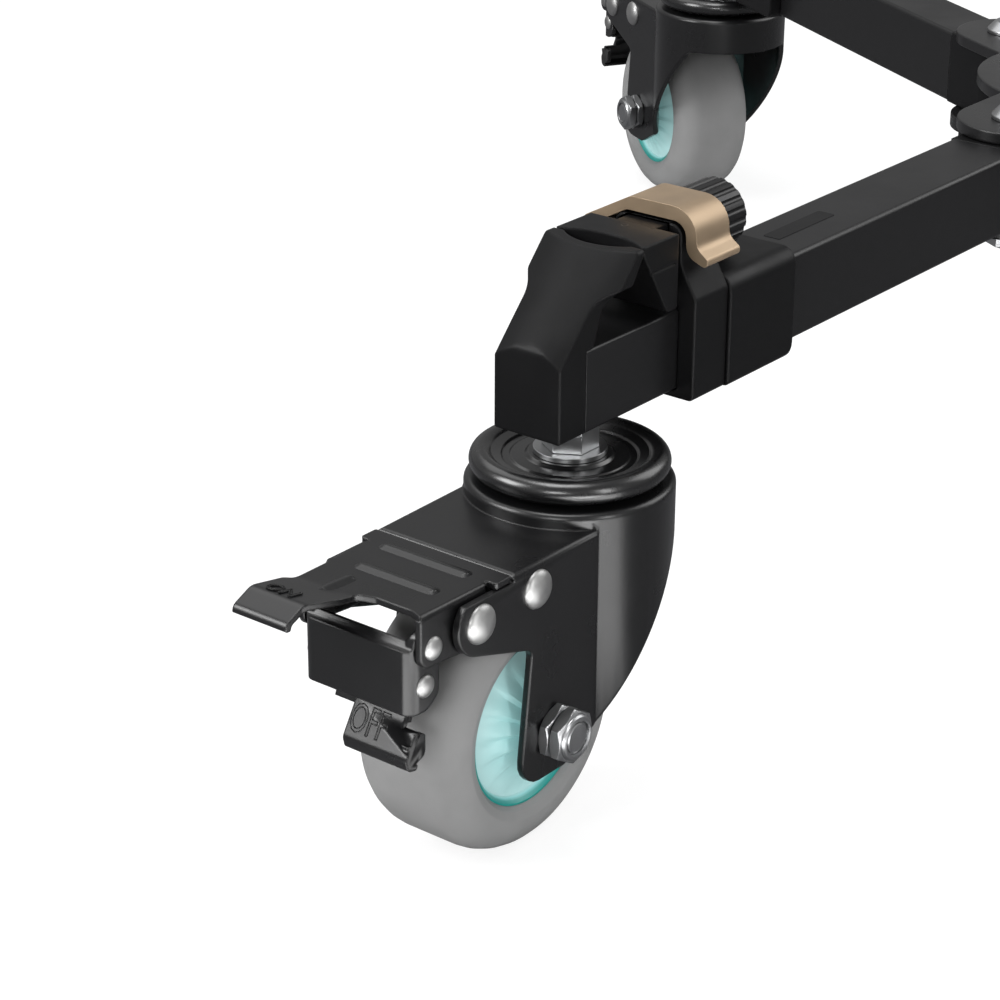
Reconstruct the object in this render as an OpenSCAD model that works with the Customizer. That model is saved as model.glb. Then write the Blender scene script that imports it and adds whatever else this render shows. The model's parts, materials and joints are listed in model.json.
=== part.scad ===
// Folding tripod dolly: three telescopic arms on a flat hub, a foot vise at the end of each arm
// and a braked swivel caster below it.
// Millimetres, +Z up. The origin is on the floor, on the hub's axis.
// Each arm is drawn in its own frame: swivel axis at X = 0, hub towards +X, floor at Z = 0.

/* [Layout] */
// Hub centre to each swivel axis, with the arm pushed right in
arm_reach = 307; // [290:1:360]
// Hub centre to each arm's pivot bolt
pivot_reach = 66; // [62:1:80]
// How far each foot slides out of its arm
foot_travel = 60; // [30:1:70]
// Inner tube behind the swivel axis
inner_tail = 150; // [130:1:165]

/* [Arm tubes] */
// Width of the outer tube
outer_w = 24.5; // [23:0.1:27]
// Height of the outer tube
outer_h = 26.3; // [25:0.1:29]
// Wall of the outer tube
outer_wall = 1.3; // [1:0.1:1.5]
// Sliding clearance between the tubes, per side
slide_gap = 0.15; // [0.1:0.05:0.3]
// Wall of the inner tube
inner_wall = 1.5; // [1.2:0.1:2]
// Corner radius of the outer tube
tube_corner = 1.6; // [1.4:0.1:2]

/* [Sleeve and collar] */
// Swivel axis to the front face of the clamp collar
collar_x = 33.3; // [31:0.1:40]
// Length of the collar along the arm
collar_len = 15.5; // [14:0.1:20]
// Side wall of the collar
collar_side = 4.3; // [3.5:0.1:6]
// Wall below the tube, on the collar and the sleeve
under_wall = 0.9; // [0.8:0.1:3]
// Height of the collar's straight sides
collar_straight = 29.4; // [27:0.1:31]
// Top of the collar's neck above its underside
neck_h = 49.4; // [48.6:0.1:50.2]
// Half width of the neck
neck_half = 11; // [10:0.1:11.6]
// Gap between the collar and the sleeve
collar_gap = 0.5; // [0.3:0.1:1]
// Length of the sleeve
sleeve_len = 32.4; // [24:0.1:50]
// Side wall of the sleeve
sleeve_side = 5.1; // [3:0.1:6]
// Top wall of the sleeve
sleeve_top = 5; // [3:0.1:5.4]

/* [Lever, knob and jaw] */
// Thickness of the lever
lever_t = 4; // [3:0.1:4.2]
// Distance of the lever's hinge from the arm's centreline
lever_hinge_y = 18.5; // [18.2:0.1:19.5]
// How far the lever swings open
lever_open = 95; // [60:1:100]
// Height of the adjusting screw above the inner tube's top
screw_rise = 17.4; // [17:0.1:18]
// Diameter of the adjusting screw
screw_d = 8; // [6:0.5:8]
// Diameter of the knob
knob_d = 19.8; // [16:0.1:20]
// Length of the knob
knob_len = 17.5; // [12:0.1:25]
// Flutes round the knob
knob_flutes = 20; // [12:1:28]
// Travel of the jaw
jaw_travel = 4; // [2:0.1:5]
// Length of the jaw block at its top
jaw_len = 16; // [15:0.1:16.4]
// Half width of the jaw
jaw_half = 14.4; // [13.4:0.1:15]
// Half width of the horn's head
head_half = 15.3; // [14:0.1:16]
// Radius of the hollow in the jaw
grip_r = 23.6; // [22:0.1:30]
// Radius of the hollow in the horn
horn_r = 16.2; // [15:0.1:20]
// Gap between horn and jaw when the vise is shut
vise_gap = 0.5; // [0.4:0.1:1]

/* [Caster wheel] */
// Diameter of the wheel
wheel_d = 76; // [70:0.5:80]
// Width of the tyre
tyre_w = 35; // [30:0.5:36]
// Radius of the tyre's shoulders
tyre_shoulder = 9.8; // [6:0.1:11]
// Thickness of the tyre from the wheel centre to the tread
tyre_t = 14; // [13.8:0.1:16]
// Diameter of the axle bolt
axle_d = 10; // [8:0.5:10]
// Axle behind the swivel axis
trail = 35.6; // [34:0.1:38]
// Pleats on each face of the wheel centre
pleats = 16; // [10:1:20]

/* [Fork] */
// Thickness of the fork's sheet
fork_t = 2; // [1.6:0.1:2.4]
// Room between the tyre's side and the fork
side_room = 3.5; // [3:0.1:5]
// Room between the tread and the underside of the fork
tread_room = 11.5; // [11:0.1:14]
// Radius of the crown and of the rear skirt
crown_r = 28.8; // [27.5:0.1:30]
// Height of the crown above the fork's top plate
crown_h = 4.3; // [4:0.1:6]
// Length of the top plate in front of the swivel axis
plate_reach = 53.2; // [52:0.1:54]
// Diameter of the king pin
king_d = 12; // [10:0.5:12]
// Head diameter of the large rivets
rivet_head = 10.8; // [9:0.1:12]

/* [Swivel ring and stem] */
// Radius of the rolled rim's centre circle
ring_r = 24; // [22.5:0.1:25]
// Radius of the rolled rim's section
ring_roll = 3.4; // [3:0.1:3.6]
// Gap between the crown and the ring
race_gap = 1; // [0.8:0.1:1.5]
// Balls in the race
ball_count = 14; // [8:1:20]
// Thickness of the washer
washer_t = 1.5; // [1:0.1:2]
// Diameter of the washer
washer_d = 20.2; // [18:0.1:22]
// Height of the stem's hexagon
hex_h = 8.3; // [6:0.1:12]
// Width of the hexagon across its flats
hex_af = 13.6; // [13.6:0.1:16]
// Diameter of the stem's stud
stud_d = 10; // [8:0.5:12]

/* [Brake] */
// Thickness of the pedal's sheet
pedal_t = 1.8; // [1.5:0.1:2]
// Length of the pedal from the fork's plate to the release bracket's front
pedal_len = 34.8; // [33:0.1:37]
// Length of the ON pedal's toe in front of the bracket
toe_len = 22.4; // [20:0.1:25]
// How far the ON pedal tips down
pedal_tip = 9; // [5:0.5:9]
// Height of the bracket's front wall
bracket_h = 17.8; // [14:0.1:18.4]
// Head diameter of the small rivets
small_rivet = 6.2; // [5:0.1:6.6]

/* [Hub] */
// Thickness of the hub's base
base_t = 5; // [4:0.1:8]
// Thickness of the hub's cover
cover_t = 4; // [3:0.1:6]
// Radius of each lobe of the hub
lobe_r = 20; // [18:0.5:24]
// Radius of the hub's central boss
boss_r = 22; // [16:0.5:30]
// Diameter of the hub's centre hole
centre_d = 10; // [8:0.1:12]
// Diameter of the pivot bolts
pivot_d = 10; // [8:0.5:12]

/* [Hidden] */
$fn = 48;
ARM_NODES = [
    "outer_tube", "arm_knuckle", "tube_sleeve", "clamp_collar", "clamp_lever", "adjust_knob",
    "foot_jaw", "inner_tube", "foot_cap", "caster_stem", "swivel_ring", "fork", "fork_rivets",
    "tyre", "wheel_hub", "axle_bolt", "brake_pedal", "release_bracket", "off_pedal"
];
HUB_NODES = ["hub_body", "hub_cover", "pivot_bolts"];

// Clearances
seat_gap = 0.05; // between pieces that are fixed to each other
run_gap = 0.06; // radial, on pins and shafts that turn
plate_gap = 0.2; // between the arms and the hub's plates

// Heights above the floor, from the wheel up
axle_z = wheel_d / 2;
rim_r = axle_z - tyre_t;
fork_top = wheel_d + tread_room + fork_t;
crown_top = fork_top + crown_h;
ring_z = crown_top + race_gap + ring_roll;
ring_under = ring_z - 0.1;
boss_top = ring_z + 2.2;
washer_top = boss_top + washer_t;
inner_z = washer_top + hex_h;

// Tube sections
inner_w = outer_w - 2 * outer_wall - 2 * slide_gap;
inner_h = outer_h - 2 * outer_wall - 2 * slide_gap;
outer_z = inner_z - outer_wall - slide_gap;
inner_top = inner_z + inner_h;
outer_top = outer_z + outer_h;
bore_corner = tube_corner - outer_wall + 0.3;

// Stations along the arm
cap_front = 19.2;
cap_joint = 7.8;
tube_start = collar_x + 2;
collar_end = collar_x + collar_len;
sleeve_x = collar_end + collar_gap;
pivot_x = arm_reach - pivot_reach;
tube_end = pivot_x - 22;
plug_len = 30;

// Collar, screw and vise
under_z = outer_z - under_wall;
collar_half = outer_w / 2 + collar_side;
shoulder_z = under_z + collar_straight;
neck_top = under_z + neck_h;
screw_z = inner_top + screw_rise;
horn_tip = collar_x - 22.3;
jaw_tip = horn_tip + vise_gap;
vise_top = screw_z + 6.5;
horn_rim = horn_tip - 7.7; // front of the horn at its top, on the centreline
lean_z = inner_z + 24.8; // where the front of the cap starts to lean
tongue_half = 6.5;
tongue_h = 12;
tongue_len = 10.5;
lever_hinge_z = neck_top - 6.4;
barrel_r = 4.1;
hinge_pin_r = 2;
lever_ear = 4; // width of each of the lever's hinge ears

// Caster
fork_half = tyre_w / 2 + side_room + fork_t;
bracket_x = plate_reach + pedal_len;
rivet_a = [9.6 - plate_reach, fork_top - 7.4];
rivet_b = [-plate_reach - 13.5, fork_top - 8.5];
rivet_c = [6 - bracket_x, fork_top - 10.1];
rivet_d = [5.4 - bracket_x, fork_top - 21.1];
ear_r = 8.6;
pin_a_r = 2.5;
pin_b_r = 3;
pin_d_r = 2;
pedal_half = fork_half - fork_t - 0.7;
bracket_half = pedal_half - pedal_t - 0.4;
bracket_top = fork_top - 10.4;
bracket_z = bracket_top - bracket_h;
ball_r = (ring_under - crown_top) / 2 - 0.15;
ball_circle = 15.5; // radius of the circle on which the balls run
nut_af = 14;

// Hub
base_top = outer_z - plate_gap;
base_z = base_top - base_t;
cover_z = outer_top + plate_gap;
cover_top = cover_z + cover_t;
lug_t = 4;

// Points of a corner's arc: q is [x, y, radius], p and s are its neighbours
function flat(v) = [v[0], v[1]];
function unit(v) = v / norm(v);
function swing(a) = a > 180 ? a - 360 : (a < -180 ? a + 360 : a);
function bearing(v) = atan2(v[1], v[0]);
function arc_points(c, r, a, turn, n) = [
    for (k = [0:n]) c + r * [cos(a + turn * k / n), sin(a + turn * k / n)]
];
function corner(p, q, s, n) =
    let (u = unit(flat(p) - flat(q)), v = unit(flat(s) - flat(q)))
    let (half = acos(u * v) / 2)
    let (c = flat(q) + unit(u + v) * q[2] / sin(half))
    let (a = bearing(flat(q) + u * q[2] / tan(half) - c))
    let (b = bearing(flat(q) + v * q[2] / tan(half) - c))
    arc_points(c, q[2], a, swing(b - a), n);
// An outline whose corners carry their own radius
function soft(points, n = 5) = let (m = len(points)) [
    for (i = [0:m - 1])
        let (q = points[i])
        each (q[2] > 0 ? corner(points[(i + m - 1) % m], q, points[(i + 1) % m], n) : [flat(q)])
];
// Both halves of an outline that is drawn on its right-hand side only
function mirrored(points) = concat(
    points,
    [for (i = [len(points) - 1:-1:0]) [-points[i][0], points[i][1], points[i][2]]]
);

// A side view in X and Z, given a width across the arm
module across(from, to) {
    translate([0, to, 0])
        rotate([90, 0, 0])
            linear_extrude(to - from)
                children();
}

// A front view in Y and Z, given a length along the arm
module along(from, to) {
    translate([from, 0, 0])
        rotate([90, 0, 90])
            linear_extrude(to - from)
                children();
}

// A plan view in X and Y, given a height
module upright(from, to) {
    translate([0, 0, from])
        linear_extrude(to - from)
            children();
}

// A round bar across the arm, from y = from to y = to
module cross_bar(at, r, from, to) {
    translate([at[0], to, at[1]])
        rotate([90, 0, 0])
            cylinder(r = r, h = to - from);
}

// A round bar along the arm, at height z
module long_bar(y, z, r, from, to) {
    translate([from, y, z])
        rotate([0, 90, 0])
            cylinder(r = r, h = to - from);
}

// A rectangle centred on y = 0 with its underside at z
module box_outline(w, h, z, r) {
    polygon(soft([[w / 2, z, r], [w / 2, z + h, r], [-w / 2, z + h, r], [-w / 2, z, r]], 4));
}

// Puts an arm's piece where arm number i stands
module on_arm(i) {
    rotate([0, 0, [0, -120, 120][i - 1]])
        translate([-arm_reach, 0, 0])
            children();
}

// Extruded outer tube, open at the wheel end
module outer_tube() color("#202020") {
    difference() {
        along(tube_start, tube_end)
            box_outline(outer_w, outer_h, outer_z, tube_corner);
        along(tube_start - 1, tube_end + 1)
            box_outline(outer_w - 2 * outer_wall, outer_h - 2 * outer_wall, outer_z + outer_wall, bore_corner);
    }
}

// Moulded end of the arm that turns on the hub's pivot bolt
module arm_knuckle() color("#262626") {
    bore = outer_wall + 0.1;
    difference() {
        union() {
            upright(outer_z, outer_top) {
                translate([pivot_x, 0])
                    circle(outer_w / 2);
                translate([tube_end, -outer_w / 2])
                    square([pivot_x - tube_end, outer_w]);
            }
            along(tube_end - plug_len, tube_end + 1)
                box_outline(outer_w - 2 * bore, outer_h - 2 * bore, outer_z + bore, bore_corner);
        }
        translate([pivot_x, 0, outer_z - 1])
            cylinder(r = pivot_d / 2 + run_gap, h = outer_h + 2);
    }
}

// Moulded sleeve round the end of the outer tube
module tube_sleeve() color("#1c1c1c") {
    half = outer_w / 2 + sleeve_side;
    top = outer_top + sleeve_top;
    end = sleeve_x + sleeve_len;
    difference() {
        intersection() {
            along(sleeve_x, end)
                polygon(soft(mirrored([[half, under_z, 1.5], [half, top, 5]])));
            across(-half, half)
                polygon(soft([[sleeve_x - 1, under_z - 1, 0], [end - 4, under_z - 1, 0], [end - 4, under_z, 0],
                              [end, under_z, 4], [end, top + 1, 0], [sleeve_x - 1, top + 1, 0]]));
        }
        along(sleeve_x - 1, end + 1)
            box_outline(outer_w + 2 * seat_gap, outer_h + 2 * seat_gap, outer_z - seat_gap, tube_corner);
    }
}

// Outline of the collar: straight sides, hollow flanks and a narrow neck
module collar_outline() {
    polygon(soft(mirrored([
        [collar_half, under_z, 1.5],
        [collar_half, shoulder_z, 2.5],
        [neck_half + 0.3, shoulder_z + 9, 6],
        [neck_half, neck_top, 3.2]
    ]), 7));
}

// Clamp collar with the guide for the jaw, the screw's bearing and the lever's hinge pin
module clamp_collar() color("#1e1e1e") {
    guide = tongue_half + slide_gap;
    ear = [collar_x + lever_ear, collar_end - lever_ear];
    difference() {
        union() {
            along(collar_x, collar_end)
                collar_outline();
            long_bar(lever_hinge_y, lever_hinge_z, barrel_r, ear[0], ear[1]);
            along(ear[0], ear[1])
                polygon([[neck_half - 2, lever_hinge_z - 4.1], [lever_hinge_y, lever_hinge_z - barrel_r],
                         [lever_hinge_y, lever_hinge_z + 0.4], [neck_half - 2, lever_hinge_z + 0.4]]);
            long_bar(lever_hinge_y, lever_hinge_z, hinge_pin_r, collar_x, collar_end);
        }
        along(tube_start - seat_gap, collar_end + 1)
            box_outline(outer_w + 2 * seat_gap, outer_h + 2 * seat_gap, outer_z - seat_gap, tube_corner);
        along(collar_x - 1, tube_start)
            box_outline(inner_w + 2 * slide_gap, inner_h + 2 * slide_gap, inner_z - slide_gap, 0.8);
        along(collar_x - 1, collar_end - 4)
            square_at(guide, screw_z - tongue_h / 2 - slide_gap, tongue_h + 2 * slide_gap);
        long_bar(0, screw_z, screw_d / 2 + run_gap, collar_x, collar_end + 1);
    }
}
// A plain rectangle of half width half, from z up by h
module square_at(half, z, h) {
    translate([-half, z])
        square([2 * half, h]);
}

// Flip lever: a bent flat bar that closes over the neck and ends in a finger lip
module clamp_lever() color("#b59b7c") {
    top = neck_top + 1.1 + lever_t;
    bend = 8.2;
    face = -neck_half - 5.1;
    difference() {
        union() {
            along(collar_x, collar_end)
                polygon(soft([
                    [lever_hinge_y + 1.9, lever_hinge_z + 3.6, 0],
                    [6, top, 4],
                    [face, top, bend],
                    [face, lever_hinge_z + 1.2, 3.5],
                    [face - 3.9, lever_hinge_z - 1.6, 1.4],
                    [face - 3.2, lever_hinge_z - 4, 1.2],
                    [face + 3.4, lever_hinge_z - 1.5, 4.5],
                    [face + lever_t - 0.4, top - lever_t, bend - lever_t],
                    [neck_half - 3.8, top - lever_t, 2],
                    [lever_hinge_y - 3.6, lever_hinge_z + 3.3, 0],
                    [lever_hinge_y - 3.6, lever_hinge_z, 0]
                ], 7));
            long_bar(lever_hinge_y, lever_hinge_z, barrel_r, collar_x, collar_end);
        }
        long_bar(lever_hinge_y, lever_hinge_z, hinge_pin_r + run_gap, collar_x - 1, collar_end + 1);
        long_bar(
            lever_hinge_y, lever_hinge_z, barrel_r + 0.4,
            collar_x + lever_ear - 0.2, collar_end - lever_ear + 0.2
        );
    }
}

// Fluted knob with the screw that feeds the jaw
module adjust_knob() color("#141414") {
    start = collar_end + 1.6;
    end = start + knob_len;
    r = knob_d / 2;
    difference() {
        translate([start, 0, screw_z])
            rotate([0, 90, 0])
                rotate_extrude()
                    polygon(soft([[0, 0, 0], [r - 0.6, 0, 0], [r, 0.8, 0], [r, knob_len - 1.4, 0],
                                  [r - 1.4, knob_len, 0], [r - 3, knob_len, 0], [r - 3.6, knob_len - 0.8, 0],
                                  [0, knob_len - 0.8, 0]]));
        for (k = [0:knob_flutes - 1])
            translate([start - 1, 0, screw_z])
                rotate([360 / knob_flutes * k, 0, 0])
                    translate([0, 0, r + 0.35])
                        rotate([0, 90, 0])
                            cylinder(r = 0.95, h = knob_len + 2, $fn = 16);
    }
    long_bar(0, screw_z, screw_d / 2 + 2, collar_end + 0.1, start + 0.5);
    long_bar(0, screw_z, screw_d / 2, jaw_tip + 8.5, start + 0.5);
}

// Moving jaw: a wedge with a hollow face, guided in the collar by its tongue
module foot_jaw() color("#191919") {
    back = jaw_tip + jaw_len;
    foot = inner_top + 2.8;
    difference() {
        union() {
            difference() {
                across(-jaw_half, jaw_half)
                    polygon(soft([[jaw_tip, vise_top, 0], [back, vise_top, 0.8], [back, foot, 0.8],
                                  [back - 4.4, foot, 1], [jaw_tip, vise_top - 2, 0]]));
                translate([jaw_tip + 4.2 - grip_r, 0, foot - 1])
                    cylinder(r = grip_r, h = vise_top - foot + 2, $fn = 96);
            }
            along(back - 1, back + tongue_len)
                square_at(tongue_half, screw_z - tongue_h / 2, tongue_h);
        }
        for (y = [-jaw_half - 9.6, jaw_half - 0.4])
            translate([jaw_tip - 1, y, vise_top - 8.3])
                cube([jaw_len, 10, 0.5]);
        long_bar(0, screw_z, screw_d / 2 + run_gap, jaw_tip + 8, back + tongue_len + 1);
    }
}

// Inner tube that carries the caster
module inner_tube() color("#222222") {
    difference() {
        along(-cap_joint, inner_tail)
            box_outline(inner_w, inner_h, inner_z, 1);
        along(-cap_joint - 1, inner_tail + 1)
            box_outline(inner_w - 2 * inner_wall, inner_h - 2 * inner_wall, inner_z + inner_wall, 0.5);
        translate([0, 0, inner_z - 1])
            cylinder(r = stud_d / 2 + 0.2, h = inner_wall + 2);
    }
}

// Moulded end cap with its leaning horn, the fixed side of the vise, and the plug for the stem
module foot_cap() color("#1a1a1a") {
    plug_w = inner_w - 2 * inner_wall - 2 * slide_gap;
    plug_h = inner_h - 2 * inner_wall - 2 * slide_gap;
    plug_z = inner_z + inner_wall + slide_gap;
    difference() {
        union() {
            intersection() {
                across(-head_half, head_half)
                    cap_side();
                along(-cap_front - 1, horn_tip + 1)
                    polygon(soft(mirrored([
                        [inner_w / 2, inner_z, 1],
                        [inner_w / 2, inner_top + 12.4, 4],
                        [head_half, inner_top + 15.2, 1.2],
                        [head_half, vise_top, 1.2]
                    ])));
                union() {
                    horn_shell();
                    translate([-cap_front - 1, -head_half, inner_z - 1])
                        cube([cap_front + horn_tip + 2, 2 * head_half, lean_z - 5 - inner_z]);
                }
            }
            along(-cap_joint - 1, 14)
                box_outline(plug_w, plug_h, plug_z, 0.8);
        }
        translate([horn_tip - 5 + horn_r, 0, inner_top + 4])
            cylinder(r = horn_r, h = vise_top - inner_top, $fn = 96);
        translate([0, 0, inner_z - 1])
            cylinder(r = stud_d / 2 + seat_gap, h = 17);
    }
}

// Side view of the cap: upright below, then leaning towards the hub, with an arched back
module cap_side() {
    neck = inner_top + 0.05;
    polygon(soft([
        [-cap_front, inner_z, 0.8],
        [-cap_joint, inner_z, 0],
        [-cap_joint, neck, 0],
        [-5, neck, 0],
        [-1.3, inner_top + 10, 3],
        [horn_tip - 6.4, inner_top + 13.6, 2],
        [horn_tip, vise_top, 0.4],
        [horn_rim, vise_top, 0.8],
        [-cap_front, lean_z, 5]
    ]));
}

// Cone whose front line is the middle of the horn's face, so that the face is round across
module horn_shell() {
    line = unit([horn_rim + cap_front, vise_top - lean_z]);
    start = [-cap_front, lean_z] - 9 * line;
    flare = 18;
    tilt = atan2(line[0], line[1]) + flare;
    r = 19;
    h = 66;
    translate([start[0] + r * cos(tilt), 0, start[1] - r * sin(tilt)])
        rotate([0, tilt, 0])
            cylinder(r1 = r, r2 = r + h * tan(flare), h = h, $fn = 96);
}

// Threaded stem with its hexagon and king pin, and the washer below the hexagon
module caster_stem() color("#c8c8c8") {
    pin_bottom = fork_top - fork_t - 0.2;
    cylinder_between(stud_d / 2, inner_z, inner_z + 15);
    translate([0, 0, washer_top])
        cylinder(r = hex_af / 2 / cos(30), h = hex_h, $fn = 6);
    cylinder_between(king_d / 2, pin_bottom - 1, washer_top + 0.5);
    cylinder_between(king_d / 2 + 3, pin_bottom - 2.4, pin_bottom);
    difference() {
        cylinder_between(washer_d / 2, boss_top, washer_top - 0.05);
        cylinder_between(king_d / 2 + seat_gap, boss_top - 1, washer_top + 1);
    }
}

// An upright round bar on the swivel axis
module cylinder_between(r, from, to) {
    translate([0, 0, from])
        cylinder(r = r, h = to - from);
}

// Upper race: a stamped dish with a rolled rim, and the balls that it runs on
module swivel_ring() color("#1b1b1b") {
    bore = king_d / 2 + seat_gap;
    rotate_extrude($fn = 96) {
        translate([ring_r, ring_z])
            circle(ring_roll);
        polygon([
            [bore, ring_under], [bore, boss_top - 0.05], [11.4, boss_top - 0.05], [12.4, ring_z + 1.3],
            [16, ring_z + 1.2], [16.6, ring_z + 0.8], [18.2, ring_z + 0.8], [18.8, ring_z + 1.5],
            [ring_r - 2.4, ring_z + 2.2], [ring_r, ring_z], [ring_r - 2.4, ring_under]
        ]);
    }
    for (k = [0:ball_count - 1])
        rotate([0, 0, 360 / ball_count * k])
            translate([ball_circle, 0, crown_top + 0.15 + ball_r])
                sphere(r = ball_r, $fn = 24);
}
// Side view of the fork: ear, notch, leg and the slanting edge of the skirt
module fork_side() {
    difference() {
        union() {
            polygon(soft([
                [crown_r + 2, fork_top, 0],
                [crown_r + 2, fork_top - 10.5, 0],
                [16.4, fork_top - 10.5, 5],
                [-trail + 18, axle_z - 6, 3],
                [-trail + 5, axle_z - 12.6, 3],
                [-trail - 14.2, axle_z - 12.6, 7],
                [-trail - 9.6, rivet_b[1] - 15.8, 3],
                [rivet_b[0] - 3, rivet_b[1] - 8.1, 0],
                [rivet_b[0], fork_top, 0]
            ]));
            translate(rivet_b)
                circle(ear_r);
        }
        translate([-plate_reach - 50, fork_top - fork_t - 0.1])
            square([50, 20]);
    }
}

// Stamped fork: crown, top plate, wrapped rear skirt, legs and brake ears
module fork() color("#242424") {
    inner_half = fork_half - fork_t;
    reach = plate_reach + 30;
    difference() {
        union() {
            intersection() {
                difference() {
                    upright(axle_z - 20, fork_top) {
                        circle(crown_r, $fn = 96);
                        translate([-reach, -fork_half])
                            square([reach, 2 * fork_half]);
                    }
                    upright(axle_z - 21, fork_top - fork_t) {
                        circle(crown_r - fork_t, $fn = 96);
                        translate([-reach - 1, -inner_half])
                            square([reach + 1, 2 * inner_half]);
                    }
                }
                across(-crown_r - 1, crown_r + 1)
                    fork_side();
            }
            rotate_extrude($fn = 96)
                polygon(soft([
                    [0, fork_top - fork_t, 0], [crown_r, fork_top - fork_t, 0],
                    [crown_r, crown_top, 1.8], [0, crown_top, 0]
                ]));
        }
        cylinder_between(king_d / 2 + run_gap, fork_top - 10, crown_top + 1);
        cross_bar([-trail, axle_z], axle_d / 2 + seat_gap, -fork_half - 1, fork_half + 1);
        cross_bar(rivet_a, pin_a_r + seat_gap, -fork_half - 1, fork_half + 1);
        cross_bar(rivet_b, pin_b_r + seat_gap, -fork_half - 1, fork_half + 1);
    }
}

// A domed rivet head on the plate at y = face, side is 1 or -1
module dome(at, d, face, side) {
    h = d * 0.22;
    r = (d * d / 4 + h * h) / (2 * h);
    intersection() {
        translate([at[0], side * (face + h - r), at[1]])
            sphere(r = r, $fn = 64);
        translate([at[0], side * face, at[1]])
            rotate([side * -90, 0, 0])
                cylinder(r = d / 2 + 1, h = h + 1);
    }
}

// Cross rivet through the fork and the two short rivets on which the pedal tips
module fork_rivets() color("#d9d9d9") {
    cross_bar(rivet_a, pin_a_r, -fork_half, fork_half);
    for (side = [-1, 1]) {
        dome(rivet_a, rivet_head, fork_half, side);
        dome(rivet_b, rivet_head, fork_half, side);
        from = side > 0 ? pedal_half - pedal_t - 0.2 : -fork_half;
        cross_bar(rivet_b, pin_b_r, from, from + fork_half - pedal_half + pedal_t + 0.2);
    }
}

// Moulded tyre with round shoulders, bonded on the wheel centre
module tyre() color("#8c8c8c") {
    half = tyre_w / 2;
    rim = rim_r + 0.02;
    outline = soft(concat(
        [[rim, -half + 2.2, 0], [rim + 1.2, -half + 1, 0.6], [rim + 3.6, -half, 2], [axle_z, -half, tyre_shoulder]],
        [[axle_z, half, tyre_shoulder], [rim + 3.6, half, 2], [rim + 1.2, half - 1, 0.6], [rim, half - 2.2, 0]]
    ), 7);
    translate([-trail, 0, axle_z])
        rotate([90, 0, 0])
            rotate_extrude($fn = 96)
                polygon(outline);
}

// Moulded wheel centre: rim, dished webs with radial pleats, and a long boss
module wheel_hub() color("#8ed0ca") {
    half = tyre_w / 2 - 2;
    boss = fork_half - fork_t - 0.3;
    rim = rim_r;
    translate([-trail, 0, axle_z])
        rotate([90, 0, 0])
            difference() {
                union() {
                    rotate_extrude($fn = 96) {
                        polygon([[rim - 2.4, -half], [rim, -half], [rim, half], [rim - 2.4, half]]);
                        polygon([[8, -3.5], [rim - 1, -half + 5.5], [rim - 1, half - 5.5], [8, 3.5]]);
                        polygon([[0, -boss], [7.6, -boss], [9, -boss + 6], [9, boss - 6], [7.6, boss], [0, boss]]);
                    }
                    for (side = [-1, 1], k = [0:pleats - 1])
                        rotate([0, 0, 360 / pleats * k])
                            pleat(side, rim, half);
                }
                translate([0, 0, -boss - 1])
                    cylinder(r = axle_d / 2 + run_gap, h = 2 * boss + 2);
            }
}

// One low radial rib on the web, side is 1 or -1
module pleat(side, rim, half) {
    rotate([90, 0, 0])
        translate([0, 0, -0.6])
            linear_extrude(1.2)
                polygon([[7.5, 0], [rim - 1.2, 0], [rim - 1.2, side * (half - 4.4)], [7.5, side * 5.2]]);
}

// Axle bolt with its head on the left, a thin nut and a lock nut on the right
module axle_bolt() color("#b0b0b0") {
    at = [-trail, axle_z];
    thin = [-fork_half - 3.2, -fork_half];
    lock = [-fork_half - 7.2, -fork_half - 3.6];
    end = -fork_half - 8.1;
    cross_bar(at, axle_d / 2, end, fork_half);
    cross_hex(at, nut_af, fork_half, fork_half + 5.5);
    difference() {
        cross_hex(at, nut_af, thin[0], thin[1]);
        cross_bar(at, axle_d / 2 + 0.02, thin[0] - 1, thin[1] + 1);
    }
    difference() {
        union() {
            cross_hex(at, nut_af, lock[0], lock[1]);
            cross_bar(at, nut_af / 2 - 0.4, end + 0.1, lock[0] + 0.5);
        }
        cross_bar(at, axle_d / 2 + 0.02, end - 1, lock[1] + 1);
    }
}

// A hexagonal bar across the arm
module cross_hex(at, af, from, to) {
    translate([at[0], to, at[1]])
        rotate([90, 0, 0])
            rotate([0, 0, 30])
                cylinder(r = af / 2 / cos(30), h = to - from, $fn = 6);
}

// A low ridge pressed up out of the pedal, from a to b
module ridge(a, b) {
    r = 1.7;
    d = b - a;
    translate([a[0], a[1], fork_top - r + 0.7])
        rotate([0, 0, bearing(d)])
            rotate([0, 90, 0])
                cylinder(r = r, h = norm(d), $fn = 24);
    for (p = [a, b])
        translate([p[0], p[1], fork_top - r + 0.7])
            sphere(r = r, $fn = 24);
}

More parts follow.
